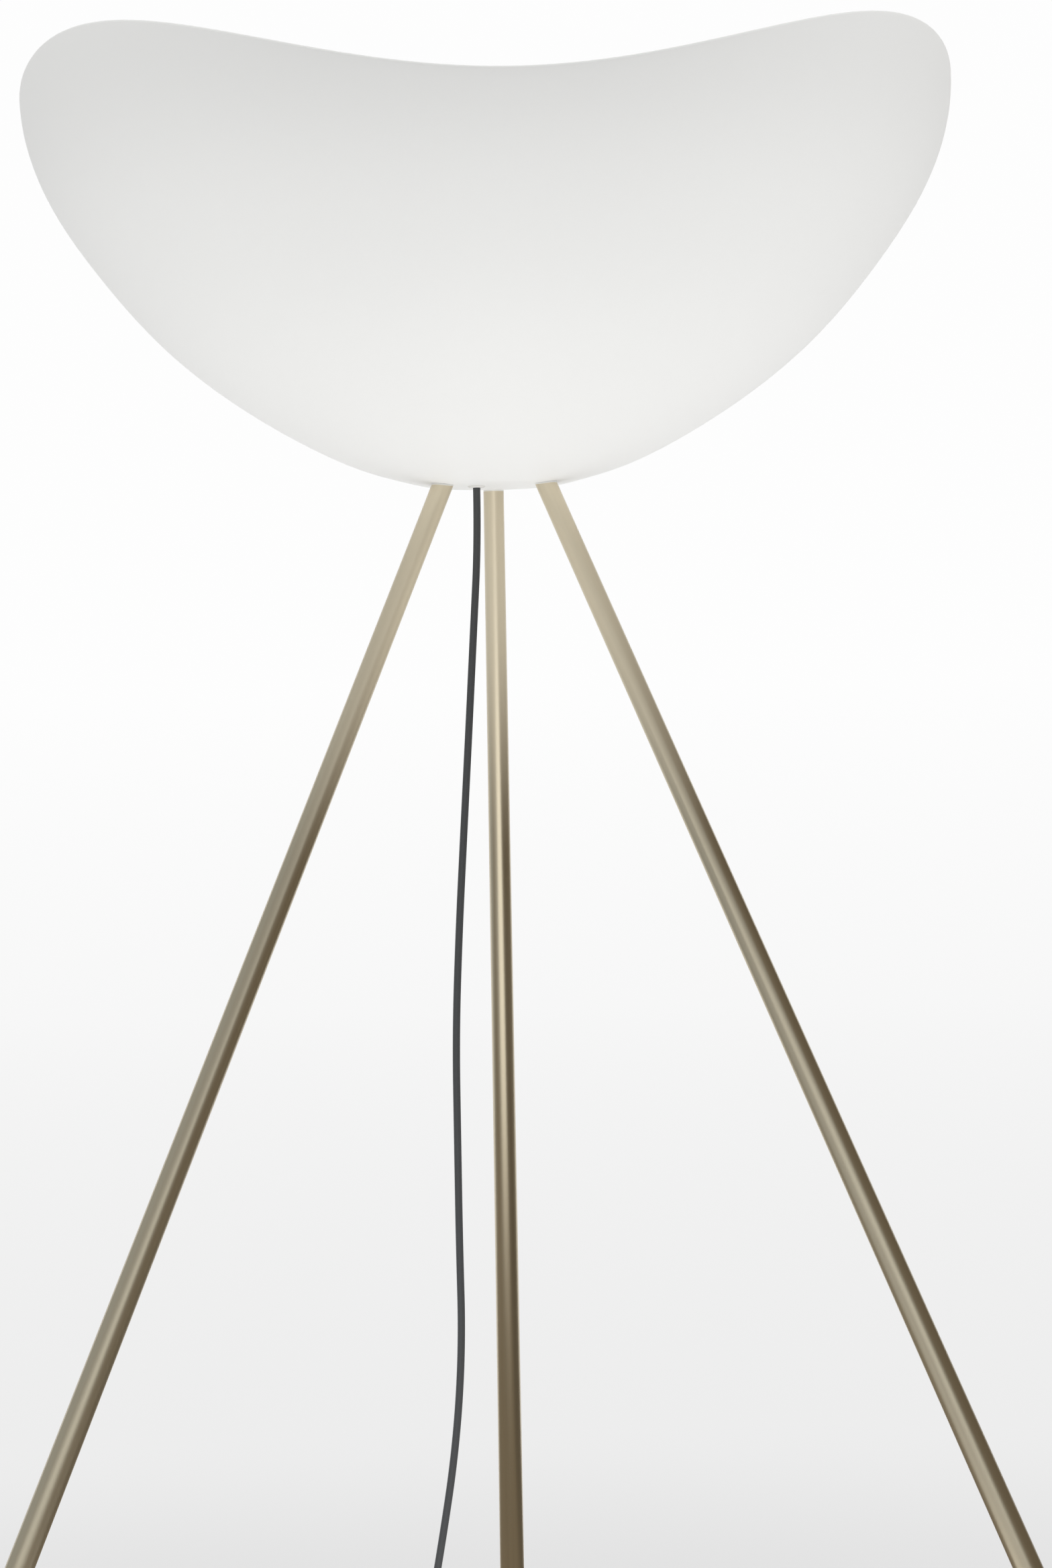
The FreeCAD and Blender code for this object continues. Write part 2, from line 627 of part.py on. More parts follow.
def switch_spring():
    """Coil spring between the tray and the button."""
    low = SWITCH_WALL + MECHANISM_H + 0.1
    high = BUTTON_STOP_Z - BUTTON_FLANGE + SPRING_SEAT - 0.1
    helix = Part.makeHelix(2.6, high - low - 2 * SPRING_WIRE_R, 4.4)
    helix.translate(V(0, 0, low + SPRING_WIRE_R))
    start = helix.Vertexes[0].Point
    section = Part.Wire(Part.makeCircle(SPRING_WIRE_R, start, V(0, 1, 0.09)))
    spring = Part.Wire(helix.Edges).makePipeShell([section], True, True)
    return on_switch(spring)


def switch_mechanism():
    """Contact block under the button and a brass clamp at each end."""
    block = Part.makeCylinder(7, MECHANISM_H, V(0, 0, SWITCH_WALL))
    clamps = []
    for x in (-24.0, 17.0):
        clamp = Part.makeBox(7, 12, 3.4, V(x, -6, SWITCH_WALL))
        clamps.append(clamp.cut(Part.makeCylinder(1.2, 5, V(x + 3.5, 0, SWITCH_WALL))))
    return on_switch(group([block] + clamps))


def switch_screws():
    screws = []
    for place in SWITCH_SCREWS:
        head = Part.makeCylinder(2.7, 1.8, place + V(0, 0, 0.4))
        shank = Part.makeCylinder(SCREW_R, 12, place + V(0, 0, 2.2))
        slot = Part.makeBox(6, 0.7, 0.9, place + V(-3, -0.35, 0.4))
        screws.append(head.fuse(shank).removeSplitter().cut(slot))
    return on_switch(group(screws))


# ---------------------------------------------------------------- plug
def on_plug(shape):
    """Drawn with the cord's end at the origin and the pins towards +X."""
    return placed(shape, PLUG_BACK, 90)


def plug_body():
    """Flat two-pin plug, waisted for the fingers."""
    half, waist, back = PLUG_W / 2, PLUG_W / 2 - 3.2, 5.6
    side = [(0, back), (7, waist + 0.4), (20, waist), (28, half), (PLUG_L, half - 1)]
    corners = [V(x, -y, 0) for x, y in side] + [V(x, y, 0) for x, y in reversed(side)]
    face = Part.Face(Part.makePolygon(corners + corners[:1]))
    body = face.extrude(V(0, 0, PLUG_H))
    body.translate(V(0, 0, -PLUG_H / 2))
    body = body.makeFillet(2.2, body.Edges)
    body = body.cut(rod(V(-1, 0, 0), V(6, 0, 0), CORD_BORE))
    for y in (-PIN_PITCH / 2, PIN_PITCH / 2):
        body = body.cut(rod(V(PLUG_L - PIN_ROOT, y, 0), V(PLUG_L + 1, y, 0), PIN_SLEEVE_R + FIT_GAP))
    return on_plug(body)


def pin_rod(y, radius, end):
    """A rod on a pin's axis, from inside the plug to a distance beyond its face."""
    return rod(V(PLUG_L - PIN_ROOT, y, 0), V(PLUG_L + end, y, 0), radius)


def plug_pins():
    pins = []
    for y in (-PIN_PITCH / 2, PIN_PITCH / 2):
        pin = pin_rod(y, PIN_R, PIN_L)
        pin = pin.makeFillet(1.2, [e for e in pin.Edges if e.BoundBox.XMin > PLUG_L + PIN_L - 0.01])
        waist = pin_rod(y, PIN_R + 1, PIN_SLEEVE_L).cut(pin_rod(y, PIN_CORE_R, PIN_SLEEVE_L))
        pins.append(pin.cut(waist))
    return on_plug(group(pins))


def plug_pin_sleeves():
    """Insulating sleeves round the roots of the pins."""
    sleeves = []
    for y in (-PIN_PITCH / 2, PIN_PITCH / 2):
        sleeves.append(pin_rod(y, PIN_SLEEVE_R, PIN_SLEEVE_L).cut(pin_rod(y, PIN_CORE_R, PIN_SLEEVE_L)))
    return on_plug(group(sleeves))


# ---------------------------------------------------------------- the whole lamp
def lamp():
    return {
        "shade": shade(),
        "hub": hub(),
        "hub_gasket": hub_gasket(),
        "leg_screws": leg_screws(),
        "leg_washers": leg_washers(),
        "cord_grommet": cord_grommet(),
        "stem": stem(),
        "stem_nuts": stem_nuts(),
        "holder_cap": holder_cap(),
        "holder_core": holder_core(),
        "holder_skirt": holder_skirt(),
        "screw_shell": screw_shell(),
        "centre_contact": centre_contact(),
        "terminal_screws": terminal_screws(),
        "inner_lead": inner_lead(),
        "lead_cores": lead_cores(),
        "bulb_tip": bulb_tip(),
        "bulb_cap": bulb_cap(),
        "bulb_neck": bulb_neck(),
        "bulb_board": bulb_board(),
        "bulb_globe": bulb_globe(),
        "switch_base": switch_base(),
        "switch_cover": switch_cover(),
        "switch_button": switch_button(),
        "switch_spring": switch_spring(),
        "switch_mechanism": switch_mechanism(),
        "switch_screws": switch_screws(),
        "switch_relief_in": strain_relief(RELIEF_L, SWITCH_CENTRE + V(SWITCH_L / 2, 0, SWITCH_PART_Z), 0),
        "switch_relief_out": strain_relief(RELIEF_L, SWITCH_CENTRE + V(-SWITCH_L / 2, 0, SWITCH_PART_Z), 180),
        "cord_hanging": cord_tube(HANGING_ROUTE),
        "cord_on_floor": cord_tube(FLOOR_ROUTE).cut(coil()),
        "cord_coil": coil(),
        "cord_tail": cord_tube(TAIL_ROUTE).cut(coil()),
        "plug_relief": strain_relief(RELIEF_L, PLUG_BACK, 270),
        "plug_body": plug_body(),
        "plug_pins": plug_pins(),
        "plug_pin_sleeves": plug_pin_sleeves(),
        **legs(),
    }


os.makedirs("parts", exist_ok=True)
for node, shape in lamp().items():
    print("%-24s solids %d valid %s volume %.0f" % (node, len(shape.Solids), shape.isValid(), shape.Volume))
    shape.exportStep("parts/%s.step" % node)
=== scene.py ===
"""Tripod floor lamp: materials, bowl, cords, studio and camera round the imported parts.  Metres."""

import json
import math

import bmesh
import bpy
import numpy as np
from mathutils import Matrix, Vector


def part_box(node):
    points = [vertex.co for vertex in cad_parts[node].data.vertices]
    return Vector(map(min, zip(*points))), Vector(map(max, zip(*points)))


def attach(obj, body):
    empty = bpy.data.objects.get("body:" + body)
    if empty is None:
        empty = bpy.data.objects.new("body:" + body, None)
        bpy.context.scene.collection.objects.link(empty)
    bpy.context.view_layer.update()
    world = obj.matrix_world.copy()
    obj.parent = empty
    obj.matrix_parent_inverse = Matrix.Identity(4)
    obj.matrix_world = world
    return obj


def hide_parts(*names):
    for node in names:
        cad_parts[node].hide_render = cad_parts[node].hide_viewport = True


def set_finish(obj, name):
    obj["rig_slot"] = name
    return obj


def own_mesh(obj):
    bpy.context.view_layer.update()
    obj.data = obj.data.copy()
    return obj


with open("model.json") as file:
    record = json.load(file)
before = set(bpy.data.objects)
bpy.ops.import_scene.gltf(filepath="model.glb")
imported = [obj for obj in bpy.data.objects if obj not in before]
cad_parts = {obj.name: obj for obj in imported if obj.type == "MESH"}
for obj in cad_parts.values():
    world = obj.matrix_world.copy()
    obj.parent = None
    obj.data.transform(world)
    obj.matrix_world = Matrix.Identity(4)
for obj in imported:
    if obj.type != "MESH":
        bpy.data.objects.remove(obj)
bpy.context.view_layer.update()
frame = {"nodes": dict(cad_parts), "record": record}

MM = 0.001

# ---------------------------------------------------------------- sizes shared with the CAD
GASKET_DIP = 1.0 * MM           # how far the legs' washers reach below the bowl
BOWL_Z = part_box("leg_gasket_rear")[0].z + GASKET_DIP    # underside of the bowl
BOWL_WALL = 4.0 * MM
# Outside of the wall from the underside up: radius and height in millimetres.
BOWL_OUTLINE = [(42, 0), (63, 3.6), (98, 14), (141, 34), (190, 64), (240, 104), (292.5, 164), (330, 224),
                (345.5, 285), (344, 330)]
RIM_MEAN = 285.0 * MM           # height of the rim above the underside
RIM_WAVE = 30.0 * MM
RIM_PEAKS = 3
RIM_PHASE = math.radians(92)    # azimuth of the rear peak of the rim
LEG_SPLAY = math.radians(25.2)
LEG_AZIMUTHS = {"leg_front_left": 210, "leg_front_right": 330, "leg_rear": 90}
CORD_D = 5.5 * MM
CORD_R = CORD_D / 2


# ---------------------------------------------------------------- camera
LENS = 96.6                     # millimetres, as is the sensor
SENSOR = 36
FAR_CLIP = 50
CAMERA_PLACE = (-0.0289, -3.1385, BOWL_Z - 0.2227)
CAMERA_ROLL = 0.0214
CAMERA_YAW = -0.0153


def camera():
    """Level view from the front, rolled by a little over one degree."""
    data = bpy.data.cameras.new("camera")
    data.lens = LENS
    data.sensor_width = SENSOR
    data.clip_end = FAR_CLIP
    seen_from = bpy.data.objects.new("camera", data)
    seen_from.location = CAMERA_PLACE
    seen_from.rotation_euler = (math.pi / 2, CAMERA_ROLL, CAMERA_YAW)
    bpy.context.scene.collection.objects.link(seen_from)
    bpy.context.scene.camera = seen_from


# ---------------------------------------------------------------- cords
# Places on the cords are in millimetres.
OUTLET = Vector((-13, -5, BOWL_Z / MM))
SWITCH_PART_Z = 8.0
FLOOR = 2.8                     # height of a cord's centre line on the floor
HANGING_ROUTE = [
    OUTLET,
    (-13, -5, 1094), (-17.4, -7, 1030), (-22.6, -10, 954), (-28, -13.6, 878),
    (-33.3, -18, 802), (-37.2, -22.5, 726), (-37.5, -28, 650), (-37.8, -34, 574),
    (-37.2, -41, 500), (-43.4, -49, 426), (-56, -57, 353), (-70, -65, 283),
    (-85, -73, 215), (-101, -80, 153), (-119, -87.5, 98), (-141, -94, 54),
    (-171, -98.5, 21), (-214, -100, SWITCH_PART_Z), (-260, -100, SWITCH_PART_Z),
]
FLOOR_ROUTE = [
    (-332, -100, SWITCH_PART_Z),
    (-376, -100, SWITCH_PART_Z), (-418, -88, 3.4), (-450, -58, FLOOR), (-460, -16, FLOOR),
    (-446, 26, FLOOR), (-410, 52, FLOOR), (-364, 60, FLOOR), (-314, 57.6, FLOOR),
    (-268, 55.5, FLOOR),
]
COIL_CENTRE = Vector((-228, 92, 0))
COIL_OUTER_R = 35.75
COIL_INNER_R = 24.75
COIL_STEPS = 24                 # points in a turn
COIL_LAYER_TURNS = 2
COIL_START = 0.25               # part of a turn by which the coil starts before the x axis
PLUG_BACK = COIL_CENTRE + Vector((COIL_OUTER_R + 0.6, 94, 7))
TAIL_ROUTE = [PLUG_BACK + Vector((0, -44, 0)), PLUG_BACK]


def coil_route():
    """Two turns inwards on the floor, a quarter turn up, and two turns outwards on top."""
    inwards = outwards = COIL_LAYER_TURNS * COIL_STEPS
    climb = COIL_STEPS // 4
    points = []
    for n in range(inwards + climb + outwards + 1):
        angle = math.tau * (n / COIL_STEPS - COIL_START)
        out = max(n - inwards - climb, 0) / outwards
        inward = min(n / inwards, 1)
        radius = COIL_OUTER_R + (COIL_INNER_R - COIL_OUTER_R) * (inward - out)
        rise = min(max((n - inwards) / climb, 0), 1) * CORD_D / MM
        spoke = Vector((radius * math.cos(angle), radius * math.sin(angle), FLOOR + rise))
        points.append(COIL_CENTRE + spoke)
    return points


def cord_curve(name, route):
    """A round cord whose control points are its route's points, in millimetres."""
    data = bpy.data.curves.new(name, "CURVE")
    data.dimensions = "3D"
    data.bevel_depth = 1
    data.bevel_resolution = 6
    data.resolution_u = 12
    data.use_fill_caps = True
    spline = data.splines.new("NURBS")
    spline.points.add(len(route) - 1)
    for point, place in zip(spline.points, route):
        point.co = (*(Vector(place) * MM), 1)
        point.radius = CORD_R
    spline.order_u = 3
    spline.use_endpoint_u = True
    cord = bpy.data.objects.new(name, data)
    bpy.context.scene.collection.objects.link(cord)
    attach(cord, "lamp")
    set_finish(cord, "cord_sheath")
    return cord


def cords():
    """The cord from the bowl to the foot switch, and from there to the plug."""
    upper = cord_curve("cord_to_switch", HANGING_ROUTE)
    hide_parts("cord_hanging")
    lower = cord_curve("cord_to_plug", FLOOR_ROUTE + coil_route() + TAIL_ROUTE)
    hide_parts("cord_on_floor", "cord_coil", "cord_tail")
    return [upper, lower]


# ---------------------------------------------------------------- bowl
OUTLINE_START = (1, 0)          # directions of the outline at its two ends
OUTLINE_END = (-0.03, 1)
OUTLINE_SAMPLES = 400
SECTION_ROWS = 60
LIP_STEPS = 8
BOWL_SEGMENTS = 192


def spline_through(corners, start, end, samples):
    """Points of a smooth cubic curve through the corners, with the given directions at its ends."""
    knots = np.array(corners, float)
    steps = np.linalg.norm(np.diff(knots, axis=0), axis=1)
    at = np.concatenate([[0], np.cumsum(steps)])
    count = len(knots)
    matrix = np.zeros((count, count))
    right = np.zeros((count, 2))
    matrix[0, 0] = matrix[-1, -1] = 1
    right[0] = start
    right[-1] = end
    for n in range(1, count - 1):
        before, after = steps[n - 1], steps[n]
        matrix[n, n - 1:n + 2] = after, 2 * (before + after), before
        right[n] = 3 * (after * (knots[n] - knots[n - 1]) / before
                        + before * (knots[n + 1] - knots[n]) / after)
    slopes = np.linalg.solve(matrix, right)
    points = []
    for t in np.linspace(0, at[-1], samples):
        n = min(int(np.searchsorted(at, t, side="right")) - 1, count - 2)
        u, h = (t - at[n]) / steps[n], steps[n]
        points.append((2 * u ** 3 - 3 * u ** 2 + 1) * knots[n] + (u ** 3 - 2 * u ** 2 + u) * h * slopes[n]
                      + (3 * u ** 2 - 2 * u ** 3) * knots[n + 1] + (u ** 3 - u ** 2) * h * slopes[n + 1])
    return np.array(points)


def bowl_section(outline, rim):
    """The wall's closed section at one azimuth: outside up, round the lip, inside down."""
    index = np.arange(len(outline))
    stop = np.interp(rim - BOWL_WALL / 2, outline[:, 1], index)
    rows = np.linspace(0, stop, SECTION_ROWS)
    outer = np.stack([np.interp(rows, index, outline[:, axis]) for axis in (0, 1)], 1)
    along = np.gradient(outer, axis=0)
    along /= np.linalg.norm(along, axis=1)[:, None]
    inwards = np.stack([-along[:, 1], along[:, 0]], 1)
    inner = outer + inwards * BOWL_WALL
    middle = (outer[-1] + inner[-1]) / 2
    lip = []
    for n in range(1, LIP_STEPS):
        a = math.pi * n / LIP_STEPS
        lip.append(middle - inwards[-1] * math.cos(a) * BOWL_WALL / 2
                   + along[-1] * math.sin(a) * BOWL_WALL / 2)
    return np.concatenate([outer, lip, inner[::-1]])


def bowl():
    """Opal bowl, closed below and open above, with a wavy rim."""
    outline = spline_through(BOWL_OUTLINE, OUTLINE_START, OUTLINE_END, OUTLINE_SAMPLES) * MM
    mesh = bmesh.new()
    rings = []
    for n in range(BOWL_SEGMENTS):
        azimuth = math.tau * n / BOWL_SEGMENTS
        rim = RIM_MEAN + RIM_WAVE * math.cos(RIM_PEAKS * (azimuth - RIM_PHASE))
        section = bowl_section(outline, rim)
        rings.append([mesh.verts.new((r * math.cos(azimuth), r * math.sin(azimuth), z + BOWL_Z))
                      for r, z in section])
    for ring, following in zip(rings, rings[1:] + rings[:1]):
        for row in range(len(ring) - 1):
            mesh.faces.new((ring[row], following[row], following[row + 1], ring[row + 1]))
    for row, height in ((0, 0), (-1, BOWL_WALL)):
        hub = mesh.verts.new((0, 0, BOWL_Z + height))
        for ring, following in zip(rings, rings[1:] + rings[:1]):
            mesh.faces.new((hub, ring[row], following[row]) if row else (hub, following[row], ring[row]))
    bmesh.ops.recalc_face_normals(mesh, faces=mesh.faces)
    shell = piece_from(mesh, "bowl", "opal_shade")
    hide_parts("shade")
    return shell


# ---------------------------------------------------------------- spring
SPRING_WIRE_R = 0.4 * MM
SPRING_PITCH = 2.6 * MM
SPRING_STEPS = 24               # rings of the wire in a turn
SPRING_SIDES = 8


def spring():
    """The switch's coil spring, which on the real switch shortens as the button goes down; here it stays at
    the CAD spring's height.
    """
    low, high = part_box("switch_spring")
    radius = (high.x - low.x) / 2 - SPRING_WIRE_R
    foot = Vector(((low.x + high.x) / 2, (low.y + high.y) / 2, low.z))
    height = high.z - low.z - 2 * SPRING_WIRE_R
    steps = round(SPRING_STEPS * height / SPRING_PITCH)
    mesh = bmesh.new()
    rings = []
    for n in range(steps + 1):
        angle = math.tau * n / SPRING_STEPS
        outwards = Vector((math.cos(angle), math.sin(angle), 0))
        centre = foot + outwards * radius + Vector((0, 0, SPRING_WIRE_R + height * n / steps))
        ring = []
        for side in range(SPRING_SIDES):
            a = math.tau * side / SPRING_SIDES
            spoke = math.cos(a) * outwards + Vector((0, 0, math.sin(a)))
            ring.append(mesh.verts.new(centre + SPRING_WIRE_R * spoke))
        rings.append(ring)
    for ring, following in zip(rings, rings[1:]):
        for side in range(SPRING_SIDES):
            after = (side + 1) % SPRING_SIDES
            mesh.faces.new((ring[side], ring[after], following[after], following[side]))
    mesh.faces.new(rings[0][::-1])
    mesh.faces.new(rings[-1])
    bmesh.ops.recalc_face_normals(mesh, faces=mesh.faces)
    coil = piece_from(mesh, "spring_coil", "spring_steel")
    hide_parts("switch_spring")
    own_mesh(coil)
    return coil


def piece_from(mesh, name, slot):
    """A smooth piece on the lamp's fixed body."""
    data = bpy.data.meshes.new(name)
    mesh.to_mesh(data)
    mesh.free()
    data.shade_smooth()
    piece = bpy.data.objects.new(name, data)
    bpy.context.scene.collection.objects.link(piece)
    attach(piece, "lamp")
    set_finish(piece, slot)
    return piece


# ---------------------------------------------------------------- materials
FINE_DETAIL = 5
BROAD_DETAIL = 3


def surface(name, colour, roughness, metallic=0.0, grain=600.0, bump=0.08, depth=0.0002, spread=0.06,
            tint=0.04, stretch=1.0, turn=(0, 0, 0), patches=9.0, patch_tint=0.04, coat=0.0, specular=0.5):
    """Principled material with fine grain and broad patches in its colour, roughness and bump."""
    material = bpy.data.materials.new(name)
    material.use_nodes = True
    nodes, links = material.node_tree.nodes, material.node_tree.links
    shader = nodes["Principled BSDF"]
    shader.inputs["Metallic"].default_value = metallic
    shader.inputs["Coat Weight"].default_value = coat
    shader.inputs["Specular IOR Level"].default_value = specular
    coordinates = nodes.new("ShaderNodeTexCoord")
    mapping = nodes.new("ShaderNodeMapping")
    mapping.vector_type = "TEXTURE"
    mapping.inputs["Rotation"].default_value = turn
    mapping.inputs["Scale"].default_value = (1, 1, stretch)
    links.new(coordinates.outputs["Object"], mapping.inputs["Vector"])
    fine = noise(nodes, links, mapping.outputs["Vector"], grain, FINE_DETAIL)
    broad = noise(nodes, links, mapping.outputs["Vector"], patches, BROAD_DETAIL)
    shade = colour_between(nodes, links, colour, tint, fine)
    patched = nodes.new("ShaderNodeMix")
    patched.data_type = "RGBA"
    patched.blend_type = "MULTIPLY"
    patched.inputs["Factor"].default_value = 1
    links.new(shade, patched.inputs["A"])
    links.new(colour_between(nodes, links, (1, 1, 1), patch_tint, broad), patched.inputs["B"])
    links.new(patched.outputs["Result"], shader.inputs["Base Color"])
    rough = span(nodes, links, fine, (0, 1), (roughness - spread, roughness + spread), "LINEAR")
    links.new(rough, shader.inputs["Roughness"])
    relief = nodes.new("ShaderNodeBump")
    relief.inputs["Strength"].default_value = bump
    relief.inputs["Distance"].default_value = depth
    links.new(fine, relief.inputs["Height"])
    links.new(relief.outputs["Normal"], shader.inputs["Normal"])
    return material


def noise(nodes, links, place, scale, detail):
    texture = nodes.new("ShaderNodeTexNoise")
    texture.inputs["Scale"].default_value = scale
    texture.inputs["Detail"].default_value = detail
    links.new(place, texture.inputs["Vector"])
    return texture.outputs["Fac"]


def colour_between(nodes, links, colour, tint, factor):
    """A colour that wanders by a share of itself."""
    mix = nodes.new("ShaderNodeMix")
    mix.data_type = "RGBA"
    mix.inputs["A"].default_value = (*[c * (1 - tint) for c in colour], 1)
    mix.inputs["B"].default_value = (*[min(c * (1 + tint), 1) for c in colour], 1)
    links.new(factor, mix.inputs["Factor"])
    return mix.outputs["Result"]


def span(nodes, links, value, source, target, kind):
    """Carries a value from one range to another, and no further."""
    node = nodes.new("ShaderNodeMapRange")
    node.interpolation_type = kind
    node.inputs["From Min"].default_value, node.inputs["From Max"].default_value = source
    node.inputs["To Min"].default_value, node.inputs["To Max"].default_value = target
    links.new(value, node.inputs["Value"])
    return node.outputs["Result"]


def arithmetic(nodes, links, operation, *terms):
    node = nodes.new("ShaderNodeMath")
    node.operation = operation
    for socket, term in zip(node.inputs, terms):
        if isinstance(term, (int, float)):
            socket.default_value = term
        else:
            links.new(term, socket)
    return node.outputs["Value"]


def materials():
    """One material for each of the record's slots, apart from the legs' brass."""
    looks = {
        "opal_shade": dict(colour=(0.88, 0.88, 0.865), roughness=0.6, grain=900, bump=0.04, tint=0.01,
                           patches=4, patch_tint=0.012, specular=0.3),
        "white_nylon": dict(colour=(0.80, 0.79, 0.76), roughness=0.42, grain=1400, bump=0.08, tint=0.02),
        "black_rubber": dict(colour=(0.022, 0.022, 0.022), roughness=0.75, grain=1400, bump=0.25),
        "zinc_steel": dict(colour=(0.58, 0.58, 0.56), roughness=0.34, metallic=1, grain=1200, tint=0.08),
        "cast_alloy": dict(colour=(0.70, 0.70, 0.68), roughness=0.55, grain=1500, bump=0.3, metallic=0.0),
        "holder_plastic": dict(colour=(0.76, 0.76, 0.73), roughness=0.32, grain=1500, bump=0.04),
        "ceramic": dict(colour=(0.82, 0.80, 0.74), roughness=0.18, grain=300, bump=0.03, coat=0.4),
        "contact_brass": dict(colour=(0.75, 0.58, 0.30), roughness=0.30, metallic=1, tint=0.08),
        "cord_sheath": dict(colour=(0.055, 0.058, 0.061), roughness=0.46, grain=2200, bump=0.12, tint=0.12),
        "core_insulation": dict(colour=(0.16, 0.09, 0.05), roughness=0.4),
        "nickel": dict(colour=(0.66, 0.64, 0.60), roughness=0.2, metallic=1, tint=0.05),
        "bulb_white": dict(colour=(0.84, 0.84, 0.82), roughness=0.35, grain=1500, bump=0.04),
        "chip_board": dict(colour=(0.80, 0.80, 0.70), roughness=0.5),
        "opal_glass": dict(colour=(0.88, 0.88, 0.86), roughness=0.12, grain=120, bump=0.01, tint=0.01,
                           coat=0.5),
        "black_plastic": dict(colour=(0.020, 0.020, 0.022), roughness=0.48, grain=2600, bump=0.35),
        "button_plastic": dict(colour=(0.035, 0.035, 0.037), roughness=0.30, grain=2600, bump=0.08),
        "spring_steel": dict(colour=(0.5, 0.5, 0.5), roughness=0.3, metallic=1),
        "soft_black": dict(colour=(0.020, 0.020, 0.022), roughness=0.6, grain=2200, bump=0.2),
    }
    return {name: surface(name, **look) for name, look in looks.items()}


# Painted light: the legs turn paler and less metallic towards the bowl, standing in for the glow of the
# bowl on them.
BOWL_LIGHT_PAINT_FROM = 0.29                # depths below the bowl between which a leg turns pale
BOWL_LIGHT_PAINT_TO = 0.06
BOWL_LIGHT_PAINT_METALLIC = 0.25


def leg_brass(azimuth):
    """Satin antique brass, its grain drawn along the leg, paler and more matt near the bowl: painted light
    standing in for the bowl's glow on the legs.
    """
    material = surface("satin_brass", (0.70, 0.62, 0.46), 0.34, metallic=1, grain=260, bump=0.05,
                       depth=0.0001, spread=0.05, tint=0.07, stretch=60,
                       turn=(0, -LEG_SPLAY, math.radians(azimuth)), patches=40, patch_tint=0.06)
    nodes, links = material.node_tree.nodes, material.node_tree.links
    split = nodes.new("ShaderNodeSeparateXYZ")
    links.new(nodes["Texture Coordinate"].outputs["Object"], split.inputs["Vector"])
    # Painted light from the bowl: metallic falls from 1 towards the bowl, so the leg's top looks paler.
    painted_bowl_light = span(nodes, links, split.outputs["Z"], (BOWL_Z - BOWL_LIGHT_PAINT_FROM, BOWL_Z - BOWL_LIGHT_PAINT_TO),
                (1.0, BOWL_LIGHT_PAINT_METALLIC), "SMOOTHSTEP")
    links.new(painted_bowl_light, nodes["Principled BSDF"].inputs["Metallic"])
    return material


def dress(new_pieces):
    """Gives each CAD node and each new piece its material."""
    finish = materials()
    for part in frame["record"]["subparts"]:
        node = frame["nodes"][part["node"]]
        node.data.materials.clear()
        if part["node"] in LEG_AZIMUTHS:
            node.data.materials.append(leg_brass(LEG_AZIMUTHS[part["node"]]))
        else:
            node.data.materials.append(finish[part["material_slot"]])
    for piece in new_pieces:
        piece.data.materials.append(finish[piece["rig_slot"]])


# ---------------------------------------------------------------- studio
FLOOR_R = 3.5                   # the real floor, beyond which it is only a picture of itself
SURROUND_R = 14.0
SURROUND_TOP = 9.0
WHITE = (1, 1, 1, 1)
COOL = (0.93, 0.97, 1, 1)
WARM = (1, 0.82, 0.60, 1)
# Cards that the brass reflects: opposite corners, tone and brightness.
CARDS = {
    "window": ((-2.8, -2.6, 0.9), (0.6, -2.6, 1.45), COOL, 1.15),
    "card_left": ((-1.6, -1.0, 0.02), (-1.6, 1.4, 3.2), COOL, 0.40),
    "card_right": ((1.3, -3.0, 0.02), (1.3, 1.4, 3.2), WARM, 0.14),
    "floor_front": ((-0.45, -1.5, 0.002), (0.33, -0.15, 0.002), WHITE, 1.45),
    "floor_left": ((-1.6, -3.0, 0.002), (-0.45, -0.15, 0.002), WHITE, 0.40),
    "floor_right": ((0.33, -3.0, 0.002), (1.3, 1.4, 0.002), WARM, 0.10),
    "floor_under": ((-1.6, -0.15, 0.002), (0.33, 1.4, 0.002), WARM, 0.18),
}
CARD_GREY = 0.02
# Lamps: place, aim, size and watts.
LIGHTS = {
    "front": ((-0.3, -4.2, 1.3), (0, 0, 1.2), (4.0, 2.4), 25),
    "left": ((-4.0, -0.6, 1.4), (0, 0, 1.2), (4.0, 3.0), 37),
    "right": ((4.0, -0.6, 1.4), (0, 0, 1.2), (4.0, 3.0), 52),
    "low": ((0, -0.25, 0.06), (0, -0.1, 1.2), (0.9, 0.9), 4.3),
    "top": ((0, 0.4, 4.4), (0, 0.4, 0), (5.0, 5.0), 97),
}
ROOM_LIGHT = 0.37
PAPER_GREY = 0.84
FAR_FLOOR = (0.4, 2.8)          # distances over which the floor's own glow takes over from its light
GLOW_AT_LAMP = 0.78
GLOW_GAIN = 0.15                # more glow at the surround
RISE_TOP = 1.3                  # height at which the surround is brightest
RISE_GLOW = 0.055
BACKDROP_CURVE = 2.6            # radius of the board's foot
BACKDROP_Y = 1.6
BACKDROP_TOP = 7.0
BACKDROP_HALF_WIDTH = 9.0
BACKDROP_STEPS = 24
BACKDROP_GLOW = 0.25
ROUND_SIDES = 96
MERGE_WITHIN = 1e-6


def turned(name, profile, material):
    """A sheet swept round the vertical axis from (radius, height) pairs."""
    mesh = bmesh.new()
    rings = []
    for n in range(ROUND_SIDES):
        a = math.tau * n / ROUND_SIDES
        rings.append([mesh.verts.new((r * math.cos(a), r * math.sin(a), z)) for r, z in profile])
    for ring, following in zip(rings, rings[1:] + rings[:1]):
        for row in range(len(profile) - 1):
            mesh.faces.new((ring[row], ring[row + 1], following[row + 1], following[row]))
    bmesh.ops.remove_doubles(mesh, verts=mesh.verts, dist=MERGE_WITHIN)
    data = bpy.data.meshes.new(name)
    mesh.to_mesh(data)
    mesh.free()
    data.materials.append(material)
    sheet = bpy.data.objects.new(name, data)
    bpy.context.scene.collection.objects.link(sheet)
    return sheet


